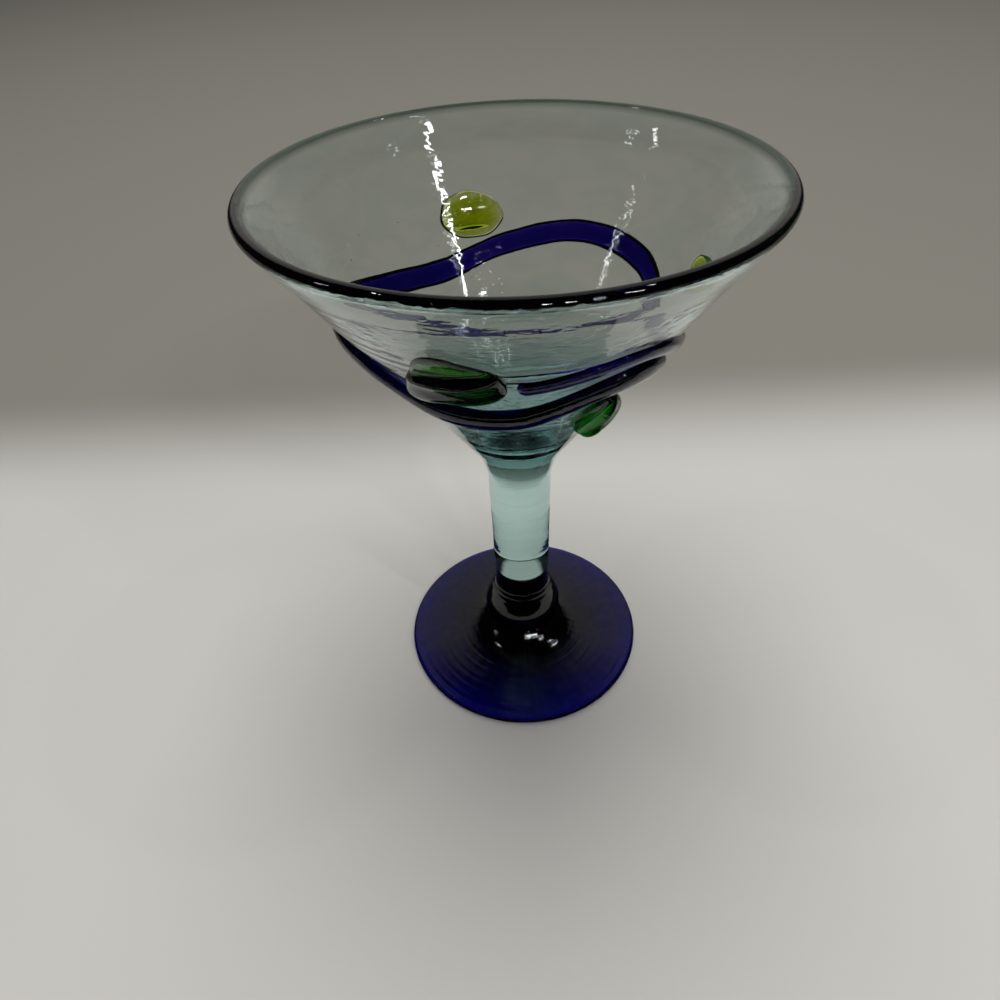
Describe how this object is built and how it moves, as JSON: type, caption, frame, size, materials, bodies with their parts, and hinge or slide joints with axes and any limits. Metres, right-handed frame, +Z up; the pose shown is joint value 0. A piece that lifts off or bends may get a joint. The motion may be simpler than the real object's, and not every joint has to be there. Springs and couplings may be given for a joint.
{
  "type": "margarita glass",
  "caption": "Blown stemmed glass with a wide conical bowl, a solid rod stem, a ring knop, a broad foot, and a trail with leaves wound round the bowl.",
  "frame": {"origin": "centre of the foot's resting plane, on the glass's own axis", "axes": "+Z up along the stem, -Y towards the viewer of the front of the glass, +X to the right"},
  "size_m": [0.1352, 0.1352, 0.178],
  "materials": {
    "clear_glass": "smooth, faintly green, with small seeds",
    "aqua_glass": "smooth, thick, pale aqua",
    "cobalt_glass": "smooth, deep cobalt, near black where it is thick",
    "lime_glass": "smooth, yellow-green",
    "bottle_green_glass": "smooth, dark green",
    "emerald_glass": "smooth, emerald"
  },
  "bodies": {
    "root": {"bowl": "clear_glass", "stem": "aqua_glass", "knop": "cobalt_glass", "foot": "cobalt_glass", "trail": "cobalt_glass", "lime_leaf": "lime_glass", "long_leaf": "bottle_green_glass", "low_leaf": "emerald_glass", "side_leaf": "lime_glass"}
  },
  "joints": []
}
